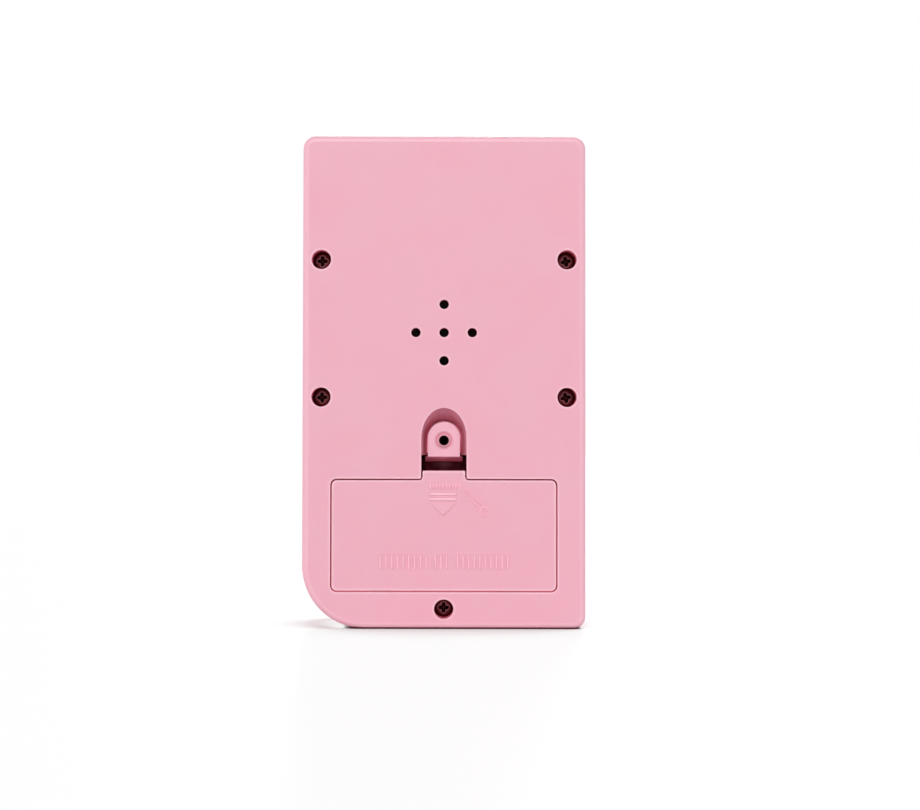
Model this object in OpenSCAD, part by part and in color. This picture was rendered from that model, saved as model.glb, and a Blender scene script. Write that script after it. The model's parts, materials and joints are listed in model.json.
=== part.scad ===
// Handheld electronic game, one-piece bar shape, standing on its bottom edge.
// X runs across the body, +Y points out of the battery side, +Z points up.
// The origin is the middle of the bottom face, at the parting line of the two covers.

/* [Body] */
// Width of the body, side to side
body_w = 78.4; // [78:0.2:90]
// Height of the body as it stands
body_h = 136.5; // [136:0.5:150]
// Thickness of the moulded walls
wall = 2; // [1.8:0.1:2.2]
// Radius of the three small corners
small_corner_r = 3.5; // [3:0.1:5]
// Radius of the big lower corner
big_corner_r = 17.4; // [10:0.2:20]
// Rounding of the edge round the battery side
back_edge_r = 1.7; // [1:0.1:2]
// Rounding of the edge round the screen side
front_edge_r = 2.4; // [1.5:0.1:2.6]
// Height of the tongue where the two covers meet
lip_h = 1.4; // [1:0.1:2]

/* [Battery door] */
// Height of the middle of the gap under the door
door_z = 10.37; // [10.3:0.01:12]
// Thickness of the door plate
door_t = 1.6; // [1.4:0.1:1.7]
// Width of the gap round the door
door_gap = 0.35; // [0.25:0.05:0.45]
// Radius of the door's corners
door_corner_r = 1.6; // [1:0.1:3]
// How far the door laps past the battery bay at each side
door_lap = 1.83; // [1.3:0.01:2]
// Width of the tab at the top of the door, to the middle of the gap round it
tab_w = 12.15; // [11:0.05:14]
// Height of the tab above the gap over the door
tab_h = 2.44; // [2:0.01:3]
// Depth of the tongue's underside below the back
tongue_depth = 5; // [4.6:0.1:5.2]
// Depth of the bend that lets the tongue spring, below the back
bend_depth = 7.4; // [6.6:0.1:7.8]
// Width of the raised pad of the tongue
pad_w = 8.9; // [8:0.1:9.5]
// Depth of the pad's face below the back
pad_sink = 1.2; // [0.8:0.1:2]
// Diameter of the screw hole through the tongue
door_hole_d = 2.76; // [2.2:0.02:3]
// Width of each hook at the door's lower edge
hook_w = 6; // [4:0.5:8]
// Distance between the two hooks
hook_pitch = 36; // [24:1:44]

// Room between the battery bay and the main board
bay_room_gap = 0.35; // [0.2:0.05:5]

/* [Battery cells] */
// Diameter of a cell
cell_d = 14.5; // [13.9:0.1:14.5]
// Length of a cell with its nub
cell_l = 50.5; // [49:0.5:50.5]
// Length of a contact spring with the cell in place
spring_l = 6.3; // [5:0.1:6.5]

/* [Screws] */
// Distance of the side screws from the side of the body
screw_inset = 5.2; // [5:0.1:6]
// Distance of the upper screws from the top of the body
upper_screw_drop = 34.5; // [30:0.5:38]
// Height of the lower pair of screws
lower_screw_z = 63.9; // [62:0.1:68]
// Height of the bottom screw
bottom_screw_z = 5.5; // [5.4:0.1:5.7]
// Diameter of the counterbores
counterbore_d = 5.3; // [4.9:0.1:5.6]
// Depth of the counterbores
counterbore_depth = 6.6; // [4:0.1:8]
// Diameter of the screw heads
head_d = 4.6; // [4:0.1:4.8]
// Diameter of the screw shanks
shank_d = 2.5; // [2:0.1:2.8]

/* [Speaker] */
// Height of the speaker's centre
speaker_z = 81.8; // [80:0.2:86]
// Diameter of the speaker
speaker_d = 28; // [26:0.5:30]
// Diameter of each sound hole
sound_hole_d = 2.6; // [1.5:0.1:3]
// Distance between sound holes
sound_hole_pitch = 7.8; // [5:0.1:8.5]

/* [Display] */
// Height of the lower edge of the screen lens
lens_z = 71; // [68:0.5:74]
// Distance of the screen lens from the top of the body
lens_top_margin = 9.5; // [8:0.5:14]
// Distance of the screen lens from each side of the body
lens_side_margin = 9; // [8:0.5:12]
// Thickness of the screen lens
lens_t = 1.1; // [0.8:0.1:1.2]
// Border of the lens at each side of the window
window_side_border = 9; // [6:0.5:14]
// Border of the lens above and below the window
window_end_border = 7; // [6:0.5:12]
// Thickness of the liquid crystal panel
lcd_t = 2.8; // [2:0.1:3.2]

/* [Keys] */
// How far a key travels
key_travel = 1; // [0.6:0.1:1.2]
// How far the keys stand out of the front
key_proud = 1.5; // [1.2:0.1:2.5]
// Running gap round each key
key_gap = 0.2; // [0.1:0.05:0.3]
// Diameter of a direction key
direction_key_d = 10; // [8:0.5:10.5]
// Distance of each direction key from the middle of the four
direction_spread = 9.2; // [9:0.1:10]
// Distance of the middle of the four direction keys from the side of the body
direction_inset = 20.5; // [20:0.5:23]
// Height of the middle of the four direction keys
direction_z = 34; // [32:0.5:36]
// Diameter of an action key
action_key_d = 12; // [10:0.5:13]
// Distance of the outer action key from the side of the body
action_inset = 13; // [11:0.5:15]
// Sideways step from the outer action key to the inner one
action_step = 13; // [11:0.5:14]
// Height of the outer action key
action_z = 41; // [36:0.5:43]
// Drop from the outer action key to the inner one
action_drop = 13; // [8:0.5:15]
// Height of the row of small keys
small_key_z = 58; // [56:0.5:58.5]
// Length of a small key
small_key_l = 8.5; // [7:0.5:10]
// Width of a small key
small_key_w = 4; // [3:0.5:4.5]
// Distance between the small keys
small_key_pitch = 14; // [12.5:0.5:14.5]

/* [Board] */
// Thickness of the main board
board_t = 1.6; // [1:0.1:1.6]
// Gap between the main board and the side walls
board_gap = 1; // [0.5:0.1:1.4]
// Distance of the board screws from the side of the body
board_screw_inset = 5.9; // [5.5:0.1:6.5]
// Distance of the upper board screws from the top of the body
board_screw_drop = 18.5; // [14:0.5:22]
// Height of the lower board screws
board_screw_z = 50; // [49:0.5:53]

/* [Hidden] */

$fn = 48;

// Fineness of the curves that are drawn point by point
small_steps = 8;
big_steps = 24;
edge_steps = 6;

// A sliver of depth, used where a shape only marks a level of a blend
sliver = 0.01;
// How far a cut runs past the face that it opens
past = 1;

// Cells and the room round them
cell_r = cell_d / 2;
cell_gap = 0.2;
door_cell_gap = 0.25;
bay_wall = 1.2;

// Stack from the front wall to the back of the main board
flange_t = 0.9;
flange_w = 0.8;
plunger_l = 1.6;
plunger_r = 1.8;
mat_t = 1;
dome_h = key_travel + 0.8;
board_stack = flange_t + plunger_l + dome_h + mat_t + board_t;

// Depth of the body: the board stack and the battery bay, one behind the other
bay_stack = door_t + door_cell_gap + cell_d + cell_gap + bay_wall;
body_d = wall + board_stack + bay_room_gap + bay_stack;

// Levels along Y, out from the parting line
back_y = body_d / 2;
front_y = -body_d / 2;
back_in = back_y - wall;
front_in = front_y + wall;
plunger_end = front_in + flange_t + plunger_l;
board_front = plunger_end + dome_h + mat_t;
board_back = board_front + board_t;
part_chamfer = 0.25;

// Tongue and rebate where the covers meet
lip_gap = 0.1;
lip_out = wall / 2 + lip_gap;

// Battery bay, laid in from the back
contact_t = 0.4;
bump_h = 1;
bay_w = cell_l + spring_l + bump_h + 2 * contact_t;
bay_end_gap = 0.27;
bay_h = 2 * cell_d + cell_gap + 2 * bay_end_gap;
door_end_lap = 0.525;
door_w = bay_w + 2 * door_lap;
door_h = bay_h + 2 * door_end_lap;
door_top = door_z + door_h;
bay_z = door_z + door_end_lap;
bay_top = bay_z + bay_h;
cell_y = back_y - door_t - door_cell_gap - cell_r;
bay_floor = cell_y - cell_r - cell_gap;
lower_cell_z = bay_z + bay_end_gap + cell_r;
upper_cell_z = lower_cell_z + cell_d + cell_gap;
nub_d = 5.5;
nub_h = 1;

// Tongue of the door, with heights counted from the door's upper edge
tab_corner_r = 0.5;
junction_r = 0.8;
tab_top = door_top + tab_h;
web_t = 1.4;
web_w = tab_w - door_gap;
tongue_t = 1.4;
groove_h = 2.5;
bar_h = 1.4;
bar_z = tab_top + groove_h;
bar_top = bar_z + bar_h;
bar_w = 10.3;
bar_sink = 2;
bend_chamfer = 0.8;
pad_l = 9.6;
pad_top = bar_top + pad_l;
pad_arch_z = pad_top - pad_w / 2;
hole_drop = 0.7;
door_hole_z = pad_arch_z - hole_drop;
dish_r = 2.55;
dish_rim_r = 1.75;
dish_floor_w = 0.15;
dish_depth = 0.4;

// Recess in the cover that the tongue lies in
tongue_gap = 0.3;
recess_floor_gap = 0.2;
recess_floor_depth = tongue_depth + recess_floor_gap;
pocket_w = tab_w + door_gap;
pocket_end_gap = 0.4;
pocket_top = bar_top + pocket_end_gap;
bend_floor_depth = bend_depth + recess_floor_gap;
bend_end_gap = 1;
bend_top = bar_top + bend_end_gap;
scoop_depth = tongue_depth;
scoop_rise = 8.35;
scoop_floor_w = pad_w + 2 * tongue_gap;
scoop_tip_gap = 0.5;
recess_skin = 1.4;
pilot_d = 2;
pilot_depth = 5.5;
pilot_end = 1;
pilot_boss_r = 3.2;

// Hooks of the door, turned under the edge of the cover
hook_t = 1.05;
hook_reach = 1.5;
hook_gap = 0.15;
hook_neck_h = 1.25;

// Case screws
screw_x = body_w / 2 - screw_inset;
upper_screw_z = body_h - upper_screw_drop;
case_screw_places = [[-screw_x, upper_screw_z], [screw_x, upper_screw_z],
    [-screw_x, lower_screw_z], [screw_x, lower_screw_z], [0, bottom_screw_z]];
head_h = 1.9;
head_chamfer = 0.5;
rear_boss_wall = 1.2;
front_boss_wall = 1.95;
rear_boss_r = counterbore_d / 2 + rear_boss_wall;
front_boss_r = shank_d / 2 + front_boss_wall;
shank_gap = 0.05;
through_gap = 0.35;
seat_y = back_y - counterbore_depth;
screw_l = 15.5;
screw_tip = seat_y - screw_l;

// Speaker
speaker_rib_t = 1.2;
speaker_rib_h = 4.5;
speaker_gap = 0.2;
speaker_flange_t = 1.2;
seat_gap = 0.1;
speaker_front = back_in - seat_gap;
basket_depth = 4.8;
basket_y = speaker_front - basket_depth;
basket_t = 0.8;
speaker_flange_w = 1.8;
vent_r = 2;
paper_t = 0.5;
cone_depth = 2.4;
surround_w = 1.6;
dust_cap_r = 4;
cap_rise = 1.4;
magnet_r = 7.5;
magnet_t = 3.8;

// Display
lens_w = body_w - 2 * lens_side_margin;
lens_h = body_h - lens_top_margin - lens_z;
screen_z = lens_z + lens_h / 2;
window_w = lens_w - 2 * window_side_border;
window_h = lens_h - 2 * window_end_border;
window_corner_r = 1;
lens_sink = 0.1;
lens_gap = 0.15;
lens_corner_r = 4;
lens_seat = front_y + lens_sink + lens_t;
lcd_margin = 4;
lcd_w = window_w + 2 * lcd_margin;
lcd_h = window_h + 2 * lcd_margin;
lcd_front = front_in + seat_gap;
lcd_back = lcd_front + lcd_t;
frame_gap = 0.2;
frame_rim = 2.4;
frame_corner_r = 1.5;
lcd_corner_r = 0.5;
zebra_t = 2;
zebra_inset = 0.6;
zebra_corner_r = 0.2;

// Keys
direction_x = direction_inset - body_w / 2;
function up_place() = [direction_x, direction_z + direction_spread];
function down_place() = [direction_x, direction_z - direction_spread];
function left_place() = [direction_x - direction_spread, direction_z];
function right_place() = [direction_x + direction_spread, direction_z];
action_a_place = [body_w / 2 - action_inset, action_z];
action_b_place = action_a_place - [action_step, action_drop];
function small_place(i) = [(i - 1.5) * small_key_pitch, small_key_z];
round_key_places = [up_place(), down_place(), left_place(), right_place(),
    action_a_place, action_b_place];
small_key_places = [for (i = [0:3]) small_place(i)];
dome_r = 3.4;
dome_tip_r = 2.2;
key_edge_r = 0.6;
key_edge_turn = 75;
key_crown = 0.35;
small_key_edge = 0.4;
small_flange_corner_r = 1;

// Board screws
board_screw_x = body_w / 2 - board_screw_inset;
board_screw_places = [for (z = [board_screw_z, body_h - board_screw_drop])
    for (x = [-board_screw_x, board_screw_x]) [x, z]];
board_boss_r = 2;
board_shank_r = 0.8;
board_shank_l = 4;
board_shank_end_gap = 0.5;
board_hole_gap = 0.3;
board_head_r = 1.8;
board_head_h = 1;
notch_gap = 0.5;

// Key mat: wide under the round keys, narrower between the lower board screws
mat_margin = 3;
mat_side = body_w / 2 - wall - board_gap - mat_margin;
mat_side_gap = 0.1;
mat_low_gap = 0.2;
mat_upper_side = board_screw_x - board_boss_r - mat_margin / 2 - mat_side_gap;
mat_low = direction_z - direction_spread - direction_key_d / 2 - mat_margin + mat_low_gap;
mat_step_z = board_screw_z - board_boss_r - mat_margin / 2;
mat_high = small_key_z + small_key_w / 2 + mat_margin / 2;
mat_corner_r = 2;

// Chip and capacitor on the board's back
blob_r = 7;
blob_h = 1.8;
chip_x = 14;
chip_drop = 4;
can_r = 2.5;
can_h = 7;
can_edge = 0.4;

// Leads
lead_r = 0.6;
lead_bend = 3;
lead_gap = 0.15;
lead_seat = 0.03;
lead_x = bay_w / 2 + bay_wall + lead_r + lead_gap;
red_tab_drop = 1.4;
tab_step = 2.5;
red_tab_y = cell_y - red_tab_drop;
black_tab_y = red_tab_y - tab_step;
black_lead_drop = 4;
solder_tabs = [[lower_cell_z, black_tab_y], [upper_cell_z, red_tab_y]];
tab_half = 1.3;
tab_gap = 0.15;
speaker_wire_r = 0.5;
speaker_wire_x = 2;
speaker_wire_rise = 4;

// ---------- Helpers ----------

// Points along an arc, from angle a0 to angle a1 in a number of steps
function arc(cx, cz, r, a0, a1, steps) =
    [for (i = [0:steps]) [cx + r * cos(a0 + (a1 - a0) * i / steps),
        cz + r * sin(a0 + (a1 - a0) * i / steps)]];

// Radius that a corner keeps when its outline is drawn in
function kept_r(r, inset) = max(r - inset, 0.1);

// Outline of the body, drawn in by an inset
function body_outline(inset) =
    let (s = kept_r(small_corner_r, inset), b = kept_r(big_corner_r, inset),
        side = body_w / 2 - inset, top = body_h - inset)
    concat(arc(-side + s, inset + s, s, 180, 270, small_steps),
        arc(side - b, inset + b, b, 270, 360, big_steps),
        arc(side - s, top - s, s, 0, 90, small_steps),
        arc(-side + s, top - s, s, 90, 180, small_steps));

// Outline of the battery door and its tab, grown outward by an amount
function door_outline(grow, top) =
    let (r = door_corner_r, side = door_w / 2, half = tab_w / 2, j = junction_r, t = tab_corner_r)
    concat(arc(-side + r, door_z + r, r + grow, 180, 270, small_steps),
        arc(side - r, door_z + r, r + grow, 270, 360, small_steps),
        arc(side - r, door_top - r, r + grow, 0, 90, small_steps),
        arc(half + j, door_top + j, j - grow, 270, 180, small_steps),
        arc(half - t, top - t, t + grow, 0, 90, small_steps),
        arc(-half + t, top - t, t + grow, 90, 180, small_steps),
        arc(-half - j, door_top + j, j - grow, 0, -90, small_steps),
        arc(-side + r, door_top - r, r + grow, 90, 180, small_steps));

// Upright arch: a rectangle under half an ellipse
function arch_outline(w, rise, spring_z, low_z) =
    concat([[-w / 2, low_z], [w / 2, low_z]],
        [for (i = [0:2 * small_steps]) [w / 2 * cos(90 * i / small_steps),
            spring_z + rise * sin(90 * i / small_steps)]]);

// Rectangle with round corners, centred at a place
function plate_outline(place, w, h, r) =
    concat(arc(place.x - w / 2 + r, place.y - h / 2 + r, r, 180, 270, small_steps),
        arc(place.x + w / 2 - r, place.y - h / 2 + r, r, 270, 360, small_steps),
        arc(place.x + w / 2 - r, place.y + h / 2 - r, r, 0, 90, small_steps),
        arc(place.x - w / 2 + r, place.y + h / 2 - r, r, 90, 180, small_steps));

// Stands a drawing up in the XZ plane, growing towards +Y from level y
module from_level(y) {
    translate([0, y, 0])
        mirror([0, 1, 0])
            rotate([90, 0, 0])
                children();
}

// Extrudes a drawing between two levels of Y
module slab(y0, y1) {
    from_level(y0)
        linear_extrude(y1 - y0)
            children();
}

// Round bar along Y
module rod(place, y0, y1, r) {
    from_level(y0)
        translate([place.x, place.y, 0])
            cylinder(h = y1 - y0, r = r);
}

// Cone along Y
module taper(place, y0, y1, r0, r1) {
    from_level(y0)
        translate([place.x, place.y, 0])
            cylinder(h = y1 - y0, r1 = r0, r2 = r1);
}

// Box between two corners
module block(low, high) {
    translate(low)
        cube(high - low);
}

// Round bar along X
module bar(y, z, x0, x1, r) {
    translate([x0, y, z])
        rotate([0, 90, 0])
            cylinder(h = x1 - x0, r = r);
}

// Half of the outer form, from the parting line to a rounded face
module half_form(depth, edge_r) {
    hull() {
        linear_extrude(sliver)
            polygon(body_outline(part_chamfer));
        translate([0, 0, part_chamfer])
            linear_extrude(depth - edge_r - part_chamfer)
                polygon(body_outline(0));
        for (i = [1:edge_steps])
            translate([0, 0, depth - edge_r + edge_r * sin(90 * i / edge_steps) - sliver])
                linear_extrude(sliver)
                    polygon(body_outline(edge_r * (1 - cos(90 * i / edge_steps))));
    }
}

// ---------- Rear cover ----------

// Battery bay's walls and floor, before the bay is hollowed
module bay_block() {
    block([-bay_w / 2 - bay_wall, bay_floor - bay_wall, bay_z - bay_wall],
        [bay_w / 2 + bay_wall, back_in + sliver, bay_top + bay_wall]);
}

// Thickened ledge behind the door's rim
module door_ledge() {
    ledge_t = 1.2;
    ledge_w = 1.1;
    block([-door_w / 2 - ledge_w, back_y - door_t - hook_gap - ledge_t, door_z - ledge_w],
        [door_w / 2 + ledge_w, back_in + sliver, door_top + ledge_w]);
}

// Room for the cells
module bay_room() {
    block([-bay_w / 2, bay_floor, bay_z], [bay_w / 2, back_y + past, bay_top]);
}

// Ribs that cradle the two cells
module cradle_ribs() {
    rib_t = 1.2;
    rib_h = 3;
    for (x = [-bay_w / 4, 0, bay_w / 4])
        difference() {
            block([x - rib_t / 2, bay_floor - sliver, bay_z - sliver],
                [x + rib_t / 2, bay_floor + rib_h, bay_top + sliver]);
            for (z = [lower_cell_z, upper_cell_z])
                bar(cell_y, z, x - rib_t, x + rib_t, cell_r + cell_gap);
        }
}

// Block that holds the scooped recess, deeper behind the tongue's bend
module recess_block() {
    side = pocket_w / 2 + recess_skin;
    slab(back_y - recess_floor_depth - recess_skin, back_in + sliver)
        polygon(arch_outline(2 * side, scoop_rise + recess_skin, pad_arch_z, bay_top));
    block([-side, back_y - bend_floor_depth - recess_skin, bay_top], [side, back_in, bend_top + recess_skin]);
}

// Scooped recess: an elliptical mouth blended down to the tongue's own arch
module scoop_cut() {
    floor_arch = arch_outline(scoop_floor_w, scoop_floor_w / 2 + scoop_tip_gap - tongue_gap,
        pad_arch_z, bar_z);
    hull() {
        slab(back_y, back_y + past)
            polygon(arch_outline(pocket_w, scoop_rise, pad_arch_z, bar_z));
        slab(back_y - scoop_depth, back_y - scoop_depth + sliver)
            polygon(floor_arch);
    }
    slab(back_y - recess_floor_depth, back_y)
        polygon(floor_arch);
}

// Square-sided pocket between the scoop and the door
module pocket_cut() {
    low = bay_top + bay_wall;
    block([-pocket_w / 2, back_y - recess_floor_depth, low], [pocket_w / 2, back_y + past, pocket_top]);
    block([-pocket_w / 2, back_y - bend_floor_depth, low], [pocket_w / 2, back_y - recess_floor_depth, bend_top]);
}

// Slots under the cover's edge for the door's hooks
module hook_slots() {
    side_gap = 0.3;
    swing_gap = 0.65;
    for (x = [-hook_pitch / 2, hook_pitch / 2]) {
        left = x - hook_w / 2 - side_gap;
        right = x + hook_w / 2 + side_gap;
        block([left, back_in - hook_t - hook_gap - swing_gap, door_z - hook_reach - swing_gap],
            [right, back_in, bay_z + sliver]);
        block([left, back_in - sliver, door_z - door_gap / 2], [right, back_y - door_t, bay_z + sliver]);
    }
}

// Slots in the bay's side wall for the solder tabs
module solder_slots() {
    for (tab = solder_tabs)
        block([bay_w / 2 - sliver, tab.y - contact_t - tab_gap, tab.x - tab_half - tab_gap],
            [bay_w / 2 + bay_wall + sliver, tab.y + tab_gap, tab.x + tab_half + tab_gap]);
}

// Stiffening ribs inside the back wall, above the speaker
module back_ribs() {
    rib_t = 1;
    rib_h = 2;
    back_rib_gap = 4;
    low = speaker_z + speaker_d / 2 + back_rib_gap;
    for (x = [-body_w / 4, 0, body_w / 4])
        block([x - rib_t / 2, back_in - rib_h, low], [x + rib_t / 2, back_in + sliver, body_h - wall]);
    block([-body_w / 2 + wall, back_in - rib_h, low], [body_w / 2 - wall, back_in + sliver, low + rib_t]);
}

module rear_cover() {
    color([0.937, 0.698, 0.761])
        difference() {
            union() {
                difference() {
                    from_level(0)
                        half_form(back_y, back_edge_r);
                    slab(-past, back_in)
                        polygon(body_outline(wall));
                }
                bay_block();
                door_ledge();
                recess_block();
                back_ribs();
                rod([0, door_hole_z], back_y - recess_floor_depth - pilot_depth - pilot_end, back_in, pilot_boss_r);
                rod([0, speaker_z], back_in - speaker_rib_h, back_in + sliver,
                    speaker_d / 2 + speaker_gap + speaker_rib_t);
                for (place = case_screw_places)
                    rod(place, 0, back_in + sliver, rear_boss_r);
            }
            difference() {
                bay_room();
                cradle_ribs();
            }
            slab(back_y - door_t - hook_gap, back_y + past)
                polygon(door_outline(door_gap / 2, pocket_top - 0.5));
            pocket_cut();
            scoop_cut();
            hook_slots();
            solder_slots();
            rod([0, door_hole_z], back_y - recess_floor_depth - pilot_depth, back_y, pilot_d / 2);
            rod([0, speaker_z], back_in - speaker_rib_h - sliver, back_in, speaker_d / 2 + speaker_gap);
            for (step = [[0, 0], [1, 0], [-1, 0], [0, 1], [0, -1]])
                rod([0, speaker_z] + sound_hole_pitch * step, back_in - past, back_y + past,
                    sound_hole_d / 2);
            for (place = case_screw_places) {
                rod(place, seat_y, back_y + past, counterbore_d / 2);
                rod(place, -past, back_y, shank_d / 2 + through_gap);
            }
            difference() {
                slab(-past, lip_h + lip_gap)
                    polygon(body_outline(lip_out - lip_gap));
                slab(-2 * past, lip_h + 2 * past)
                    polygon(body_outline(wall + lip_gap));
            }
        }
}

// ---------- Front cover ----------

module front_cover() {
    color([0.937, 0.698, 0.761])
        difference() {
            union() {
                difference() {
                    union() {
                        mirror([0, 1, 0])
                            from_level(0)
                                half_form(-front_y, front_edge_r);
                        slab(-past, lip_h)
                            polygon(body_outline(lip_out));
                    }
                    slab(front_in, lip_h + past)
                        polygon(body_outline(wall));
                }
                for (place = case_screw_places)
                    intersection() {
                        rod(place, front_in - sliver, 0, front_boss_r);
                        slab(front_y, past)
                            polygon(body_outline(part_chamfer));
                    }
                for (place = board_screw_places)
                    rod(place, front_in - sliver, board_front, board_boss_r);
            }
            slab(front_y - past, lens_seat)
                polygon(plate_outline([0, screen_z], lens_w + 2 * lens_gap, lens_h + 2 * lens_gap,
                    lens_corner_r + lens_gap));
            slab(front_y, front_in + past)
                polygon(plate_outline([0, screen_z], window_w, window_h, window_corner_r));
            for (place = [up_place(), down_place(), left_place(), right_place()])
                rod(place, front_y - past, front_in + sliver, direction_key_d / 2 + key_gap);
            for (place = [action_a_place, action_b_place])
                rod(place, front_y - past, front_in + sliver, action_key_d / 2 + key_gap);
            for (place = small_key_places)
                slab(front_y - past, front_in + sliver)
                    polygon(plate_outline(place, small_key_l + 2 * key_gap, small_key_w + 2 * key_gap,
                        small_key_w / 2 + key_gap - sliver));
            for (place = case_screw_places)
                rod(place, screw_tip - past, past, shank_d / 2 + shank_gap);
            for (place = board_screw_places)
                rod(place, board_front - board_shank_l, board_front + past, board_shank_r + shank_gap);
        }
}

// ---------- Battery door ----------

// Hook: a neck under the plate and a toe turned down behind the cover's edge
module door_hook(x) {
    toe_back = back_in - hook_gap;
    block([x - hook_w / 2, toe_back - hook_t, door_z], [x + hook_w / 2, back_y - door_t, door_z + hook_neck_h]);
    block([x - hook_w / 2, toe_back - hook_t, door_z - hook_reach], [x + hook_w / 2, toe_back, door_z + hook_neck_h]);
}

// Springy bend of the tongue: a floor, and a wall that slopes up to the pad
module door_bend() {
    bend_front = back_y - bend_depth;
    block([-web_w / 2, bend_front, tab_top - web_t], [web_w / 2, back_y - door_t, tab_top]);
    block([-bar_w / 2, bend_front, tab_top - sliver], [bar_w / 2, bend_front + tongue_t, bar_z]);
    translate([-bar_w / 2, 0, 0])
        rotate([90, 0, 90])
            linear_extrude(bar_w)
                polygon([[bend_front, bar_z - sliver], [bend_front, bar_top - bend_chamfer],
                    [bend_front + bend_chamfer, bar_top], [back_y - bar_sink, bar_top],
                    [back_y - tongue_depth, bar_z], [back_y - tongue_depth, bar_z - sliver]]);
}

module battery_door() {
    tongue_front = back_y - tongue_depth;
    color([0.937, 0.698, 0.761])
        difference() {
            union() {
                slab(back_y - door_t, back_y)
                    polygon(door_outline(-door_gap / 2, tab_top + door_gap / 2));
                door_bend();
                slab(tongue_front, back_y - pad_sink)
                    polygon(arch_outline(pad_w, pad_w / 2, pad_arch_z, bar_top - sliver));
                for (x = [-hook_pitch / 2, hook_pitch / 2])
                    door_hook(x);
            }
            difference() {
                taper([0, door_hole_z], back_y - pad_sink - dish_depth, back_y - pad_sink + sliver,
                    dish_rim_r + dish_floor_w, dish_r);
                rod([0, door_hole_z], tongue_front, back_y, dish_rim_r);
            }
            rod([0, door_hole_z], tongue_front - past, back_y, door_hole_d / 2);
        }
}

// ---------- Screws ----------

module case_screws() {
    color([0.16, 0.10, 0.10])
        for (place = case_screw_places) {
            rod(place, seat_y, seat_y + head_h - head_chamfer, head_d / 2);
            taper(place, seat_y + head_h - head_chamfer, seat_y + head_h, head_d / 2, head_d / 2 - head_chamfer);
            rod(place, screw_tip, seat_y, shank_d / 2);
        }
}

module board_screws() {
    color([0.72, 0.72, 0.74])
        for (place = board_screw_places) {
            rod(place, board_back, board_back + board_head_h, board_head_r);
            rod(place, board_front - board_shank_l + board_shank_end_gap, board_back, board_shank_r);
        }
}

// ---------- Display ----------

module screen_lens() {
    color([0.55, 0.60, 0.60])
        slab(front_y + lens_sink, lens_seat)
            polygon(plate_outline([0, screen_z], lens_w, lens_h, lens_corner_r));
}

module lcd_panel() {
    color([0.66, 0.70, 0.58])
        slab(lcd_front, lcd_back)
            polygon(plate_outline([0, screen_z], lcd_w, lcd_h, lcd_corner_r));
}

// Frame round the panel, standing between the front wall and the main board
module lcd_frame() {
    color([0.90, 0.90, 0.88])
        difference() {
            slab(front_in, board_front)
                polygon(plate_outline([0, screen_z], lcd_w + 2 * frame_gap + 2 * frame_rim,
                    lcd_h + 2 * frame_gap + 2 * frame_rim, frame_corner_r));
            slab(front_in - past, board_front + past)
                polygon(plate_outline([0, screen_z], lcd_w + 2 * frame_gap, lcd_h + 2 * frame_gap,
                    lcd_corner_r));
        }
}

module zebra_strips() {
    long = lcd_w - 2 * zebra_inset;
    color([0.80, 0.45, 0.50])
        for (side = [-1, 1])
            slab(lcd_back, board_front)
                polygon(plate_outline([0, screen_z + side * (lcd_h / 2 - zebra_inset - zebra_t / 2)],
                    long, zebra_t, zebra_corner_r));
}

// ---------- Main board ----------

module main_board() {
    color([0.20, 0.42, 0.26])
        difference() {
            slab(board_front, board_back)
                polygon(body_outline(wall + board_gap));
            for (place = case_screw_places)
                rod(place, board_front - past, board_back + past, front_boss_r + notch_gap);
            for (place = board_screw_places)
                rod(place, board_front - past, board_back + past, board_shank_r + board_hole_gap);
        }
}

// Domed drop of resin over the chip
module chip_blob() {
    color([0.07, 0.07, 0.07])
        from_level(board_back)
            translate([-chip_x, speaker_z - speaker_d / 2 - chip_drop, 0])
                rotate_extrude()
                    polygon(concat([[0, 0]], [for (i = [0:small_steps])
                        [blob_r * cos(90 * i / small_steps), blob_h * sin(90 * i / small_steps)]]));
}

// Standing can on the board's back
module capacitor() {
    place = [speaker_d / 2 + 2 * can_r + can_edge, speaker_z - speaker_d / 2 + can_r];
    color([0.18, 0.22, 0.40]) {
        rod(place, board_back, board_back + can_h - can_edge, can_r);
        taper(place, board_back + can_h - can_edge, board_back + can_h, can_r, can_r - can_edge);
    }
}

// ---------- Keys ----------

// Silicone sheet with a dome under each key
module key_mat() {
    color([0.82, 0.82, 0.80]) {
        slab(board_front - mat_t, board_front)
            union() {
                polygon(plate_outline([0, (mat_low + mat_step_z) / 2], 2 * mat_side,
                    mat_step_z - mat_low, mat_corner_r));
                polygon(plate_outline([0, (mat_low + mat_high) / 2], 2 * mat_upper_side,
                    mat_high - mat_low, mat_corner_r));
            }
        for (place = concat(round_key_places, small_key_places))
            taper(place, plunger_end, board_front - mat_t, dome_tip_r, dome_r);
    }
}

// Round key: domed cap, flange behind the front wall and plunger down to its dome
module round_key(place, d) {
    top = front_in - front_y + key_proud;
    color([0.96, 0.95, 0.92])
        mirror([0, 1, 0])
            from_level(-front_in)
                translate([place.x, place.y, 0])
                    rotate_extrude()
                        polygon(concat([[0, -flange_t - plunger_l], [plunger_r, -flange_t - plunger_l],
                            [plunger_r, -flange_t], [d / 2 + flange_w, -flange_t], [d / 2 + flange_w, 0],
                            [d / 2, 0]],
                            arc(d / 2 - key_edge_r, top - key_crown - key_edge_r, key_edge_r, 0,
                                key_edge_turn, small_steps), [[0, top]]));
}

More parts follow.
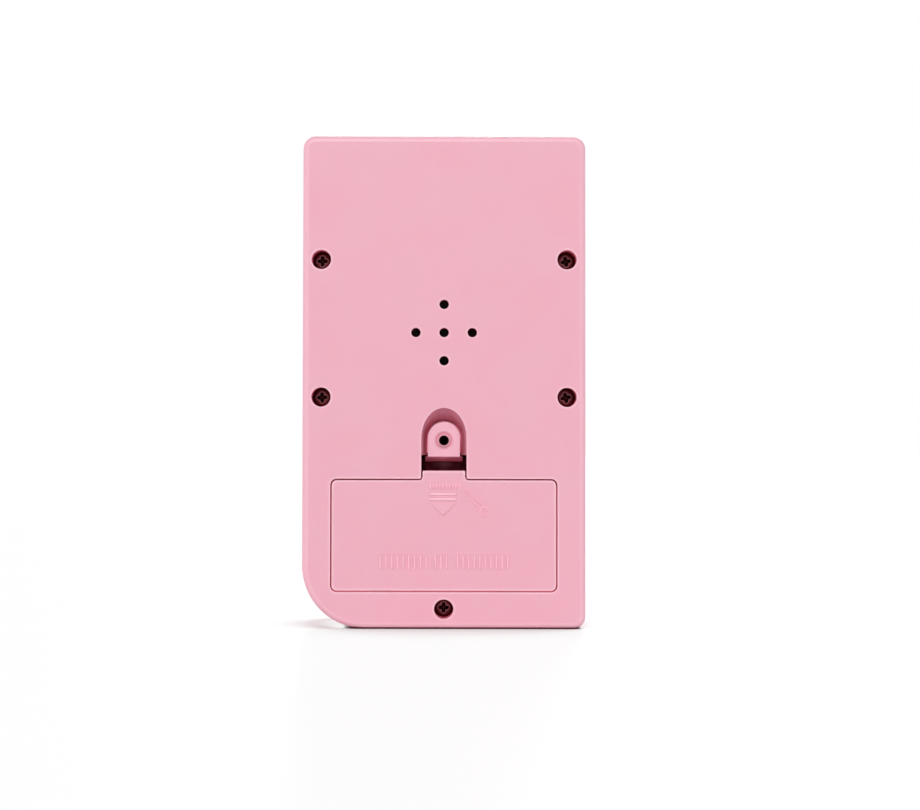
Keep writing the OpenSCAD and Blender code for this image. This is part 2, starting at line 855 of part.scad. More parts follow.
// Small key: long round-ended cap with a stepped edge, flange and plunger
module small_key(place) {
    top = front_y - key_proud;
    color([0.96, 0.95, 0.92]) {
        slab(top + small_key_edge, front_in)
            polygon(plate_outline(place, small_key_l, small_key_w, small_key_w / 2 - sliver));
        slab(top, top + small_key_edge)
            polygon(plate_outline(place, small_key_l - 2 * small_key_edge, small_key_w - 2 * small_key_edge,
                small_key_w / 2 - small_key_edge - sliver));
        slab(front_in, front_in + flange_t)
            polygon(plate_outline(place, small_key_l + 2 * flange_w, small_key_w + 2 * flange_w,
                small_flange_corner_r));
        rod(place, front_in + flange_t - sliver, plunger_end, plunger_r);
    }
}

module up_key() {
    round_key(up_place(), direction_key_d);
}

module down_key() {
    round_key(down_place(), direction_key_d);
}

module left_key() {
    round_key(left_place(), direction_key_d);
}

module right_key() {
    round_key(right_place(), direction_key_d);
}

module action_key_a() {
    round_key(action_a_place, action_key_d);
}

module action_key_b() {
    round_key(action_b_place, action_key_d);
}

module power_key() {
    small_key(small_place(0));
}

module start_key() {
    small_key(small_place(1));
}

module sound_key() {
    small_key(small_place(2));
}

module reset_key() {
    small_key(small_place(3));
}

// ---------- Speaker ----------

// Stands a profile drawn as [radius, Y level] up round the speaker's axis
module speaker_turn() {
    from_level(0)
        translate([0, speaker_z, 0])
            rotate_extrude()
                children();
}

module speaker_frame() {
    rim = speaker_d / 2;
    inner = rim - speaker_flange_w;
    flange_y = speaker_front - speaker_flange_t;
    color([0.60, 0.60, 0.62])
        speaker_turn()
            polygon([[rim, speaker_front], [inner, speaker_front], [inner, flange_y],
                [magnet_r + basket_t, basket_y + basket_t], [vent_r, basket_y + basket_t],
                [vent_r, basket_y], [magnet_r + 2 * basket_t, basket_y],
                [inner + basket_t, flange_y - basket_t / 2], [rim, flange_y]]);
}

// Paper cone with its round surround and dust cap
module speaker_cone() {
    outer = speaker_d / 2 - speaker_flange_w - speaker_gap;
    top = speaker_front - paper_t;
    neck_y = top - cone_depth;
    color([0.12, 0.12, 0.13])
        speaker_turn()
            polygon([[outer, top], [outer - surround_w, top], [dust_cap_r + paper_t, neck_y],
                [dust_cap_r, neck_y + cap_rise / 2], [0, neck_y + cap_rise],
                [0, neck_y + cap_rise - paper_t], [dust_cap_r - paper_t, neck_y],
                [dust_cap_r + paper_t, neck_y - paper_t], [outer - surround_w, top - paper_t],
                [outer, top - paper_t]]);
}

module speaker_magnet() {
    color([0.25, 0.25, 0.27])
        rod([0, speaker_z], basket_y - magnet_t, basket_y, magnet_r);
}

// ---------- Batteries and contacts ----------

// One cell along X, its nub towards the given side
module cell(z, side) {
    tip = bay_w / 2 - contact_t - bump_h;
    shoulder = 0.6;
    translate([0, cell_y, z])
        rotate([0, 90 * side, 0])
            rotate_extrude()
                polygon([[0, tip - cell_l], [cell_r - shoulder, tip - cell_l], [cell_r, tip - cell_l + shoulder],
                    [cell_r, tip - nub_h - shoulder], [cell_r - shoulder, tip - nub_h],
                    [nub_d / 2, tip - nub_h], [nub_d / 2, tip], [0, tip]]);
}

module battery_upper() {
    color([0.13, 0.14, 0.16])
        cell(upper_cell_z, 1);
}

module battery_lower() {
    color([0.13, 0.14, 0.16])
        cell(lower_cell_z, -1);
}

plate_half = 5.5;
bump_r = 2.2;

// Flat contact plate against the bay's side wall
module contact_plate(side, z0, z1) {
    inner = bay_w / 2 - contact_t;
    low = min(side * inner, side * bay_w / 2);
    block([low, cell_y - plate_half, z0 - plate_half], [low + contact_t, cell_y + plate_half, z1 + plate_half]);
}

// Bump that meets a cell's nub
module contact_bump(side, z) {
    inner = bay_w / 2 - contact_t;
    translate([side * (inner + sliver), cell_y, z])
        rotate([0, -90 * side, 0])
            cylinder(h = bump_h - 0.02 + sliver, r1 = bump_r + 0.8, r2 = bump_r);
}

// Two plates beside the leads, each with a solder tab through the wall
module contact_plates() {
    color([0.80, 0.80, 0.82]) {
        for (tab = solder_tabs) {
            contact_plate(1, tab.x, tab.x);
            block([bay_w / 2 - contact_t, tab.y - contact_t, tab.x - tab_half],
                [lead_x + lead_r, tab.y, tab.x + tab_half]);
        }
        contact_bump(1, upper_cell_z);
    }
}

// One plate that joins the two cells at the far side
module bridge_contact() {
    color([0.80, 0.80, 0.82]) {
        contact_plate(-1, lower_cell_z, upper_cell_z);
        contact_bump(-1, lower_cell_z);
    }
}

// Conical coil, wound along X from its plate to the flat end of a cell
coil_turns = 5;
coil_turn_steps = 14;
coil_sides = 6;
coil_wire_r = 0.35;
coil_wide_r = 4.8;
coil_tip_r = 3;
coil_gap = 0.04;

function coil_share(i) = i / (coil_turns * coil_turn_steps);
function coil_point(i, j) =
    let (s = coil_share(i), turn = 360 * i / coil_turn_steps, side = 360 * j / coil_sides,
        r = coil_wide_r + (coil_tip_r - coil_wide_r) * s + coil_wire_r * cos(side),
        along = coil_wire_r + coil_gap + (spring_l - 2 * coil_wire_r - 2 * coil_gap) * s)
    [r * cos(turn), r * sin(turn), along + coil_wire_r * sin(side)];

module coil() {
    rings = coil_turns * coil_turn_steps;
    points = [for (i = [0:rings]) for (j = [0:coil_sides - 1]) coil_point(i, j)];
    walls = [for (i = [0:rings - 1]) for (j = [0:coil_sides - 1])
        let (k = (j + 1) % coil_sides)
        [i * coil_sides + j, i * coil_sides + k, (i + 1) * coil_sides + k, (i + 1) * coil_sides + j]];
    start = [[for (j = [coil_sides - 1:-1:0]) j]];
    end = [[for (j = [0:coil_sides - 1]) rings * coil_sides + j]];
    polyhedron(points, concat(walls, start, end));
}

module contact_springs() {
    base = bay_w / 2 - contact_t;
    color([0.75, 0.75, 0.77]) {
        translate([-base, cell_y, upper_cell_z])
            rotate([0, 90, 0])
                coil();
        translate([base, cell_y, lower_cell_z])
            rotate([0, -90, 0])
                coil();
    }
}

// ---------- Leads ----------

// Insulated wire: up along Z, round a bend, then forward to the main board
module lead(x, y, z0, z1, r) {
    translate([x, y, z0])
        cylinder(h = z1 - z0, r = r);
    translate([x, y - lead_bend, z1])
        rotate([90, 0, 90])
            rotate_extrude(angle = 90)
                translate([lead_bend, 0])
                    circle(r);
    rod([x, z1 + lead_bend], board_back, y - lead_bend, r);
}

module battery_lead_red() {
    color([0.75, 0.08, 0.08])
        lead(lead_x, red_tab_y + lead_r + lead_seat, upper_cell_z - tab_half, bay_top, lead_r);
}

module battery_lead_black() {
    color([0.05, 0.05, 0.05])
        lead(lead_x, black_tab_y + lead_r + lead_seat, lower_cell_z - tab_half,
            bay_top - black_lead_drop, lead_r);
}

module speaker_leads() {
    start = speaker_z + magnet_r + 2 * speaker_wire_r;
    color([0.75, 0.08, 0.08])
        for (x = [-speaker_wire_x, speaker_wire_x])
            lead(x, basket_y - speaker_wire_r - lead_seat, start, start + speaker_wire_rise, speaker_wire_r);
}

// ---------- Parts ----------

rear_cover();
front_cover();
battery_door();
case_screws();
screen_lens();
lcd_panel();
lcd_frame();
zebra_strips();
main_board();
board_screws();
chip_blob();
capacitor();
key_mat();
up_key();
down_key();
left_key();
right_key();
action_key_a();
action_key_b();
power_key();
start_key();
sound_key();
reset_key();
speaker_frame();
speaker_cone();
speaker_magnet();
battery_upper();
battery_lower();
contact_plates();
contact_springs();
bridge_contact();
battery_lead_red();
battery_lead_black();
speaker_leads();
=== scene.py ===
"""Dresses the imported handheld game: materials, small moulded detail, studio and camera."""

import json
import math

import bmesh
import bpy
from mathutils import Matrix, Vector


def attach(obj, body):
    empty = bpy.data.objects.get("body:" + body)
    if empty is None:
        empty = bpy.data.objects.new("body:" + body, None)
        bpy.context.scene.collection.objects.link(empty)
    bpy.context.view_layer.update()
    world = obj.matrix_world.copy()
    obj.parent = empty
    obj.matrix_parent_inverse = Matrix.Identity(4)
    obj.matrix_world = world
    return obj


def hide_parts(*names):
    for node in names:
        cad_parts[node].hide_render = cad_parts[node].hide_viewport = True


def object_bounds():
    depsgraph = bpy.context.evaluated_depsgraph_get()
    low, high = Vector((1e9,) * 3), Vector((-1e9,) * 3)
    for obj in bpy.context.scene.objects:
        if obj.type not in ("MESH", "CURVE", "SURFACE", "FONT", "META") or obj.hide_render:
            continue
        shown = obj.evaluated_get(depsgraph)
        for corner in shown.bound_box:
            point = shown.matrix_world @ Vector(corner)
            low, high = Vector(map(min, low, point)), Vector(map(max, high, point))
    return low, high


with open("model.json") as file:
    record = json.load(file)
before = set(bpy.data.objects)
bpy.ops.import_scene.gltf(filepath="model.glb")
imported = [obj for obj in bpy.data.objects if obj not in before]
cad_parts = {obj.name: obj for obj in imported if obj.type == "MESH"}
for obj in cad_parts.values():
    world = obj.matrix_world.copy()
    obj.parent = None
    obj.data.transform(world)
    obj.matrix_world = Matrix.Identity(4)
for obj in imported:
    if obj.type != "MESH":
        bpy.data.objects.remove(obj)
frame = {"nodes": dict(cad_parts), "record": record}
cad_low, cad_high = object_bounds()

MM = 0.001
NODES = frame["nodes"]
MOUNTS = {mount["name"]: mount["pos_m"] for mount in frame["record"]["mounts"]}

# Places of the CAD model that pieces and finishes are made to fit, in millimetres
BACK_Y = MOUNTS["back_face"][1] / MM
HOLE_Z = MOUNTS["tongue_screw_hole"][2] / MM
KEY_TOP_Y = cad_low[1] / MM
WINDOW_Z = 99
WINDOW_HALF = 21


# ---------- Meshes ----------

def link(obj):
    """Puts an object in the scene."""
    bpy.context.scene.collection.objects.link(obj)
    return obj


def new_object(name, bm, slot, material=None):
    """An object made of a bmesh in millimetres, with the material given, or else the material of a
    finish slot.
    """
    bmesh.ops.scale(bm, vec=(MM, MM, MM), verts=bm.verts)
    bmesh.ops.recalc_face_normals(bm, faces=bm.faces)
    mesh = bpy.data.meshes.new(name)
    bm.to_mesh(mesh)
    bm.free()
    for polygon in mesh.polygons:
        polygon.use_smooth = True
    obj = link(bpy.data.objects.new(name, mesh))
    mesh.materials.append(material or MATERIALS[slot])
    return obj


def weighted_normals(obj):
    """Keeps flat faces flat in the shading where they meet a small rounding."""
    modifier = obj.modifiers.new("even_normals", "WEIGHTED_NORMAL")
    modifier.keep_sharp = True
    modifier.weight = 60


def prism(bm, outline, y_from, y_to, edge):
    """A plate of an outline in X and Z, from one level to another, with its outer edge rounded."""
    low = [bm.verts.new((x, y_from, z)) for x, z in outline]
    high = [bm.verts.new((x, y_to, z)) for x, z in outline]
    bm.faces.new(low)
    top = bm.faces.new(list(reversed(high)))
    count = len(outline)
    for i in range(count):
        j = (i + 1) % count
        bm.faces.new((low[i], high[i], high[j], low[j]))
    bmesh.ops.bevel(bm, geom=list(top.edges), offset=edge, segments=2, affect="EDGES")


def disc(cx, cz, r, steps=24):
    """Outline of a circle."""
    turn = 2 * math.pi / steps
    return [(cx + r * math.cos(i * turn), cz + r * math.sin(i * turn)) for i in range(steps)]


# ---------- Nodes that the materials share ----------

def set_inputs(node, values):
    """Sets values on a node's own sockets."""
    for name, value in values.items():
        node.inputs[name].default_value = value


def shader_of(name):
    """A new material's node tree, principled shader and object coordinates."""
    material = bpy.data.materials.new(name)
    material.use_nodes = True
    tree = material.node_tree
    shader = tree.nodes["Principled BSDF"]
    place = tree.nodes.new("ShaderNodeTexCoord").outputs["Object"]
    return material, tree, shader, place


def math_node(tree, operation, *values):
    """The result of a math node on one or two values, which may be outputs or numbers."""
    node = tree.nodes.new("ShaderNodeMath")
    node.operation = operation
    for entry, value in zip(node.inputs, values):
        if isinstance(value, (int, float)):
            entry.default_value = value
        else:
            tree.links.new(value, entry)
    return node.outputs["Value"]


def product(tree, first, *others):
    """Values multiplied."""
    for other in others:
        first = math_node(tree, "MULTIPLY", first, other)
    return first


def largest(tree, first, *others):
    """The largest of some values."""
    for other in others:
        first = math_node(tree, "MAXIMUM", first, other)
    return first


def size_of(tree, value):
    """A value without its sign."""
    return math_node(tree, "ABSOLUTE", value)


def axis_of(tree, vector, axis):
    """One axis of a vector."""
    node = tree.nodes.new("ShaderNodeSeparateXYZ")
    tree.links.new(vector, node.inputs["Vector"])
    return node.outputs[axis]


def vector_node(tree, operation, vector, constant, result="Vector"):
    """The result of a vector math node on an output and a constant."""
    node = tree.nodes.new("ShaderNodeVectorMath")
    node.operation = operation
    node.inputs[1].default_value = constant
    tree.links.new(vector, node.inputs[0])
    return node.outputs[result]


def remap(tree, value, from_low, from_high, to_low, to_high):
    """A value moved from one range to another, and kept inside it."""
    node = tree.nodes.new("ShaderNodeMapRange")
    set_inputs(node, {"From Min": from_low, "From Max": from_high, "To Min": to_low, "To Max": to_high})
    tree.links.new(value, node.inputs["Value"])
    return node.outputs["Result"]


def rising(tree, value, low, high, most=1.0):
    """Nought below a range, and one or another amount above it."""
    return remap(tree, value, low, high, 0.0, most)


def falling(tree, value, low, high, most=1.0):
    """One or another amount below a range, and nought above it."""
    return remap(tree, value, low, high, most, 0.0)


def inverse(tree, mask):
    """One where a mask is nought, and nought where it is one."""
    return falling(tree, mask, 0.0, 1.0)


def noise(tree, place, size, detail=2.0, roughness=0.5):
    """Noise whose features are of a size in millimetres."""
    node = tree.nodes.new("ShaderNodeTexNoise")
    set_inputs(node, {"Scale": 1 / (size * MM), "Detail": detail, "Roughness": roughness})
    tree.links.new(place, node.inputs["Vector"])
    return node.outputs["Fac"]


def blend_colour(tree, factor, first, second):
    """Two colours, or colour outputs, mixed by a factor."""
    node = tree.nodes.new("ShaderNodeMix")
    node.data_type = "RGBA"
    tree.links.new(factor, node.inputs["Factor"])
    for value, name in ((first, "A"), (second, "B")):
        entry = next(s for s in node.inputs if s.name == name and s.type == "RGBA")
        if isinstance(value, tuple):
            entry.default_value = (*value, 1)
        else:
            tree.links.new(value, entry)
    return next(s for s in node.outputs if s.type == "RGBA")


def tint(tree, colour, tone, *masks):
    """A colour turned to a tone as far as all the masks reach."""
    return blend_colour(tree, product(tree, *masks), colour, tone)


def gloss_from(tree, shader, value, low, high):
    """Makes a shader's roughness follow the middle range of a value."""
    tree.links.new(remap(tree, value, 0.3, 0.7, low, high), shader.inputs["Roughness"])


def bump(tree, shader, height, depth, before=None):
    """Gives a shader relief whose full height is a depth in millimetres."""
    node = tree.nodes.new("ShaderNodeBump")
    set_inputs(node, {"Strength": 1.0, "Distance": depth * MM})
    tree.links.new(height, node.inputs["Height"])
    if before is not None:
        tree.links.new(before, node.inputs["Normal"])
    tree.links.new(node.outputs["Normal"], shader.inputs["Normal"])


def near_edges(tree, reach, inside, local=True):
    """How open the surface is within a reach in millimetres, outside it or in its own thickness."""
    node = tree.nodes.new("ShaderNodeAmbientOcclusion")
    node.samples = 8
    node.inside = inside
    node.only_local = local
    node.inputs["Distance"].default_value = reach * MM
    return node.outputs["AO"]


def rounded_normal(tree, radius):
    """Surface direction with the edges rounded to a radius in millimetres."""
    node = tree.nodes.new("ShaderNodeBevel")
    node.samples = 4
    node.inputs["Radius"].default_value = radius * MM
    return node.outputs["Normal"]


def bricks(tree, shader, place, offset, values):
    """Colours a shader by rows of bricks in X and Z, sized in millimetres, and gives their joints."""
    node = tree.nodes.new("ShaderNodeTexBrick")
    node.offset = offset
    set_inputs(node, {"Scale": 1 / MM, **values})
    turn = tree.nodes.new("ShaderNodeMapping")
    turn.inputs["Rotation"].default_value = (math.radians(-90), 0, 0)
    tree.links.new(place, turn.inputs["Vector"])
    tree.links.new(turn.outputs["Vector"], node.inputs["Vector"])
    tree.links.new(node.outputs["Color"], shader.inputs["Base Color"])
    return node.outputs["Fac"]


# ---------- Shell plastic ----------

# Reaches in millimetres within which the shell's openness is felt
WIDE_REACH = 6.0
CLOSE_REACH = 1.0
RIM_REACH = 0.9
LIP_REACH = 0.25

# Edges of the shell's zones in metres, each a narrow band over which one zone passes into the next:
# the recess by half its width, by Z and by Y; the slot and the shelf in it by Z; the tongue's dish,
# its bore and the rim of the hole by radius; what lies deep inside by Y; and the door's foot by Z
RECESS_SIDE = (6.5 * MM, 6.6 * MM)
RECESS_FOOT = (43.4 * MM, 43.6 * MM)
RECESS_TOP = (64 * MM, 64.5 * MM)
RECESS_MOUTH = (13.38 * MM, 13.46 * MM)
RECESS_BOTTOM = (6 * MM, 6.5 * MM)
SLOT_TOP = (47.4 * MM, 47.6 * MM)
SHELF_TOP = (47 * MM, 48 * MM)
DISH_RIM = (2.55 * MM, 2.7 * MM)
BORE_RIM = (1.36 * MM, 1.42 * MM)
HOLE_RIM = (1.5 * MM, 1.6 * MM)
DEEP_INSIDE = (7.6 * MM, 8.2 * MM)
DOOR_FOOT_LOW = (9.4 * MM, 9.6 * MM)
DOOR_FOOT_HIGH = (10.6 * MM, 10.8 * MM)

# Colours of the shell, by where they show: its own face and clouds, then painted highlights, painted
# shade and painted light
FACE = (0.865, 0.45, 0.545)
FACE_CLOUD = (0.875, 0.43, 0.525)
# Painted highlights on the shell's convex edges and on the rounding of its back
RIM_HIGHLIGHT = (1.0, 0.68, 0.77)
ROUNDING_HIGHLIGHT = (0.97, 0.57, 0.67)
# Painted shade on walls and on the lips of gaps outside the recess
WALL_SHADE = (1.0, 0.38, 0.48)
WALL_DEEP_SHADE = (0.5, 0.05, 0.1)
LIP_SHADE = (0.6, 0.07, 0.12)
# Painted shade on the scoop's slopes, paler at its deep end where the real shade already falls, and on
# the shelf at its foot
SCOOP_SHADE = (0.67, 0.225, 0.295)
SCOOP_SHADE_DEEP_END = (0.88, 0.33, 0.46)
SHELF_SHADE = (0.44, 0.12, 0.155)
SHELF_SHADE_UPPER = (0.5, 0.175, 0.23)
# Painted light on the tongue's pad, and painted shade in its dish and bore
PAD_LIT = (0.92, 0.478, 0.58)
DISH_SHADE = (0.83, 0.37, 0.46)
BORE_SHADE = (0.06, 0.01, 0.015)
# Painted shade on faces that look down at something close under them, and deep inside the case
UNDERSIDE_SHADE = (0.12, 0.04, 0.05)
INSIDE_SHADE = (0.07, 0.008, 0.012)
# Painted light given off in the narrow gaps, and more strongly at the door's foot
GAP_GLOW = (0.05, 0.002, 0.006)
FOOT_GLOW = (0.26, 0.085, 0.105)


def from_hole(tree, place):
    """Distance in metres from the axis of the hole in the door's tongue."""
    flat = vector_node(tree, "MULTIPLY", place, (1, 0, 1))
    return vector_node(tree, "DISTANCE", flat, (0, 0, HOLE_Z * MM), "Value")


def in_recess(tree, place):
    """One inside the scooped recess round the door's tongue, below the face of the case."""
    height = axis_of(tree, place, "Z")
    depth = axis_of(tree, place, "Y")
    across = falling(tree, size_of(tree, axis_of(tree, place, "X")), *RECESS_SIDE)
    above = rising(tree, height, *RECESS_FOOT)
    below = falling(tree, height, *RECESS_TOP)
    sunk = falling(tree, depth, *RECESS_MOUTH)
    return product(tree, across, above, below, sunk, rising(tree, depth, *RECESS_BOTTOM))


class ShellZones:
    """What the shell's colour follows: place, direction, and how much its light is shut in."""

    def __init__(self, tree, place, local):
        facing = tree.nodes.new("ShaderNodeTexCoord").outputs["Normal"]
        self.depth = axis_of(tree, place, "Y")
        self.height = axis_of(tree, place, "Z")
        self.level = axis_of(tree, facing, "Y")
        self.upward = axis_of(tree, facing, "Z")
        self.hole = from_hole(tree, place)
        self.recess = in_recess(tree, place)
        self.outside = inverse(tree, self.recess)
        self.openness = near_edges(tree, WIDE_REACH, False, local)
        self.close_by = near_edges(tree, CLOSE_REACH, False, False)
        self.shut_in = product(tree, falling(tree, self.openness, 0.45, 0.65),
                               falling(tree, self.depth, *DEEP_INSIDE))


def face_colour(tree, place, zones):
    """Clouded face, with painted highlights on rims and roundings, and painted shade, redder, on walls
    and lips outside the recess.
    """
    clouds = rising(tree, noise(tree, place, 14, 3.0, 0.6), 0.35, 0.65)
    colour = blend_colour(tree, clouds, FACE, FACE_CLOUD)
    # Painted highlights on convex edges and on the rounding of the back
    rim_highlight = falling(tree, near_edges(tree, RIM_REACH, True), 0.5, 0.93)
    colour = tint(tree, colour, RIM_HIGHLIGHT, rim_highlight, rising(tree, zones.openness, 0.7, 0.88))
    colour = tint(tree, colour, ROUNDING_HIGHLIGHT,
                  rising(tree, zones.level, 0.88, 0.96), falling(tree, zones.level, 0.996, 0.9998),
                  rising(tree, zones.openness, 0.975, 0.99, 0.5))
    # Painted shade on walls and on the lips of gaps outside the recess
    colour = tint(tree, colour, WALL_SHADE, zones.outside, falling(tree, zones.openness, 0.5, 0.95))
    colour = tint(tree, colour, WALL_DEEP_SHADE, zones.outside, falling(tree, zones.openness, 0.08, 0.5))
    lip_shade = falling(tree, near_edges(tree, LIP_REACH, True), 0.5, 0.78)
    return tint(tree, colour, LIP_SHADE, zones.outside, lip_shade)


def recess_colour(tree, colour, zones):
    """Painted shade on the scoop's slopes, the shelf at its foot and the tongue's dish and bore, and
    painted light on its pad.
    """
    slope = falling(tree, zones.level, 0.95, 0.985)
    deep_end = falling(tree, zones.openness, 0.72, 0.92)
    colour = tint(tree, colour, blend_colour(tree, deep_end, SCOOP_SHADE, SCOOP_SHADE_DEEP_END), zones.recess, slope)
    shelf_shade = blend_colour(tree, rising(tree, zones.height, *SHELF_TOP), SHELF_SHADE, SHELF_SHADE_UPPER)
    colour = tint(tree, colour, shelf_shade, zones.recess, falling(tree, zones.openness, 0.36, 0.5, 0.85))
    colour = tint(tree, colour, PAD_LIT, zones.recess,
                  rising(tree, zones.level, 0.985, 0.995), rising(tree, zones.openness, 0.6, 0.75))
    colour = tint(tree, colour, DISH_SHADE, zones.recess, falling(tree, zones.hole, *DISH_RIM))
    return tint(tree, colour, BORE_SHADE, zones.recess, falling(tree, zones.hole, *BORE_RIM))


def shell_glow(tree, shader, zones):
    """Faint painted light of its own in the narrow gaps, paler and stronger at the door's foot."""
    slot = product(tree, rising(tree, zones.height, *SLOT_TOP, 2.0), rising(tree, zones.hole, *HOLE_RIM))
    strength = product(tree, inverse(tree, zones.shut_in), falling(tree, zones.close_by, 0.1, 0.5),
                       largest(tree, zones.outside, product(tree, zones.recess, slot)))
    tree.links.new(strength, shader.inputs["Emission Strength"])
    foot = product(tree, rising(tree, zones.height, *DOOR_FOOT_LOW),
                   falling(tree, zones.height, *DOOR_FOOT_HIGH))
    tree.links.new(blend_colour(tree, foot, GAP_GLOW, FOOT_GLOW), shader.inputs["Emission Color"])


def shell_plastic(name, local=True):
    """Pink shell: clouds and grain, painted highlights on rims, and painted shade, redder, the more its
    light is shut in.
    """
    material, tree, shader, place = shader_of(name)
    zones = ShellZones(tree, place, local)
    colour = recess_colour(tree, face_colour(tree, place, zones), zones)
    # Painted shade on faces that look down at something close under them, and deep inside the case
    colour = tint(tree, colour, UNDERSIDE_SHADE,
                  falling(tree, zones.upward, -0.78, -0.64), falling(tree, zones.close_by, 0.42, 0.72))
    colour = tint(tree, colour, INSIDE_SHADE, zones.shut_in)
    tree.links.new(colour, shader.inputs["Base Color"])

    gloss_from(tree, shader, noise(tree, place, 6, 4.0), 0.36, 0.46)
    bump(tree, shader, noise(tree, place, 0.3), 0.003, rounded_normal(tree, 0.2))
    # Specular level falls where the surface is shut in: painted shade on its reflections
    shine = product(tree, rising(tree, zones.openness, 0.6, 0.98, 0.45),
                    rising(tree, zones.close_by, 0.4, 0.9))
    tree.links.new(shine, shader.inputs["Specular IOR Level"])
    shell_glow(tree, shader, zones)
    return material


# ---------- Other materials ----------

def plastic(name, colour, cloud, roughness, grain=0.25, grain_depth=0.004):
    """Moulded plastic: faint clouds in its colour, and a fine spark-eroded grain."""
    material, tree, shader, place = shader_of(name)
    clouds = rising(tree, noise(tree, place, 16, 3.0), 0.35, 0.65)
    tree.links.new(blend_colour(tree, clouds, colour, cloud), shader.inputs["Base Color"])
    gloss_from(tree, shader, noise(tree, place, 5, 4.0), roughness - 0.04, roughness + 0.05)
    bump(tree, shader, noise(tree, place, grain), grain_depth)
    return material


# Screw heads: the levels in metres over which the brim of the driver recess starts and its hollow ends
BRIM_START = (8.757 * MM, 8.764 * MM)
HOLLOW_END = (8.4 * MM, 8.73 * MM)
# Painted highlight on the brim of the driver recess and painted shade in its hollow
SCREW_BRIM_HIGHLIGHT = (0.2, 0.07, 0.075)
SCREW_HOLLOW_SHADE = (0.04, 0.008, 0.008)


def metal(name, colour, worn, roughness, scratch, metallic=1.0, screw_head=False):
    """Metal with fine uneven wear, and on a screw's head a painted highlight on the brim of its driver
    recess and painted shade in its hollow.
    """
    material, tree, shader, place = shader_of(name)
    wear = rising(tree, noise(tree, place, scratch, 5.0, 0.65), 0.35, 0.7)
    shown = blend_colour(tree, wear, colour, worn)
    if screw_head:
        height = axis_of(tree, place, "Y")
        # Painted highlight on the brim of the driver recess and painted shade in its hollow
        shown = tint(tree, shown, SCREW_BRIM_HIGHLIGHT, rising(tree, height, *BRIM_START))
        shown = tint(tree, shown, SCREW_HOLLOW_SHADE, falling(tree, height, *HOLLOW_END))
    tree.links.new(shown, shader.inputs["Base Color"])
    gloss = remap(tree, wear, 0.0, 1.0, roughness, roughness + 0.15)
    tree.links.new(gloss, shader.inputs["Roughness"])
    bump(tree, shader, wear, 0.01)
    set_inputs(shader, {"Metallic": metallic})
    return material


# Lens: its colour, the dark print with its flecks, and half the width of the print's soft edge
LENS_CLEAR = (0.97, 0.98, 0.98)
LENS_PRINT = (0.035, 0.02, 0.025)
LENS_PRINT_FLECK = (0.05, 0.03, 0.036)
PRINT_BLUR = 0.1 * MM


def clear_lens(name):
    """Clear acrylic with faint haze, printed dark round the window of the display."""
    material, tree, shader, place = shader_of(name)
    gloss_from(tree, shader, noise(tree, place, 8, 3.0), 0.02, 0.06)
    from_centre = vector_node(tree, "SUBTRACT", place, (0, 0, WINDOW_Z * MM))
    off = [size_of(tree, axis_of(tree, from_centre, axis)) for axis in "XZ"]
    edge = WINDOW_HALF * MM
    printed = rising(tree, largest(tree, *off), edge - PRINT_BLUR, edge + PRINT_BLUR)
    flecks = rising(tree, noise(tree, place, 0.5, 3.0), 0.4, 0.7)
    print_colour = blend_colour(tree, flecks, LENS_PRINT, LENS_PRINT_FLECK)
    colour = blend_colour(tree, printed, LENS_CLEAR, print_colour)
    tree.links.new(colour, shader.inputs["Base Color"])
    tree.links.new(inverse(tree, printed), shader.inputs["Transmission Weight"])
    set_inputs(shader, {"IOR": 1.45})
    return material


def lcd_glass(name):
    """Display: grey green, with a faint grid of resting cells."""
    material, tree, shader, place = shader_of(name)
    bricks(tree, shader, place, 0.0, {
        "Color1": (0.46, 0.5, 0.36, 1),
        "Color2": (0.47, 0.51, 0.37, 1),
        "Mortar": (0.52, 0.56, 0.42, 1),
        "Mortar Size": 0.12,
        "Mortar Smooth": 0.1,
        "Brick Width": 2.1,
        "Row Height": 2.1,
    })
    gloss_from(tree, shader, noise(tree, place, 10), 0.18, 0.26)
    return material


def board(name):
    """Solder mask with the faint tracks of the copper under it."""
    material, tree, shader, place = shader_of(name)
    tracks = bricks(tree, shader, place, 0.37, {
        "Color1": (0.02, 0.11, 0.045, 1),
        "Color2": (0.025, 0.13, 0.05, 1),
        "Mortar": (0.045, 0.19, 0.08, 1),
        "Mortar Size": 0.22,
        "Brick Width": 9.0,
        "Row Height": 1.7,
    })
    gloss_from(tree, shader, noise(tree, place, 1.5, 3.0), 0.3, 0.42)
    bump(tree, shader, tracks, 0.03)
    return material


# Cell sleeve: where it ends, from the middle of the cell, in metres, and its colours
SLEEVE_END = (15.0 * MM, 15.2 * MM)
SLEEVE = (0.016, 0.02, 0.028)
SLEEVE_SCUFF = (0.03, 0.034, 0.044)
CELL_METAL = (0.42, 0.44, 0.46)


def cell_jacket(name):
    """Cell with a plain dark sleeve, scuffed, and bare metal at both ends."""
    material, tree, shader, place = shader_of(name)
    bare = rising(tree, size_of(tree, axis_of(tree, place, "X")), *SLEEVE_END)
    scuff = rising(tree, noise(tree, place, 1.2, 5.0, 0.7), 0.45, 0.7, 0.6)
    colour = tint(tree, blend_colour(tree, scuff, SLEEVE, SLEEVE_SCUFF), CELL_METAL, bare)
    tree.links.new(colour, shader.inputs["Base Color"])
    tree.links.new(remap(tree, scuff, 0.0, 1.0, 0.22, 0.4), shader.inputs["Roughness"])
    bump(tree, shader, noise(tree, place, 0.6, 3.0), 0.01)
    set_inputs(shader, {"Metallic": 0.35})
    return material


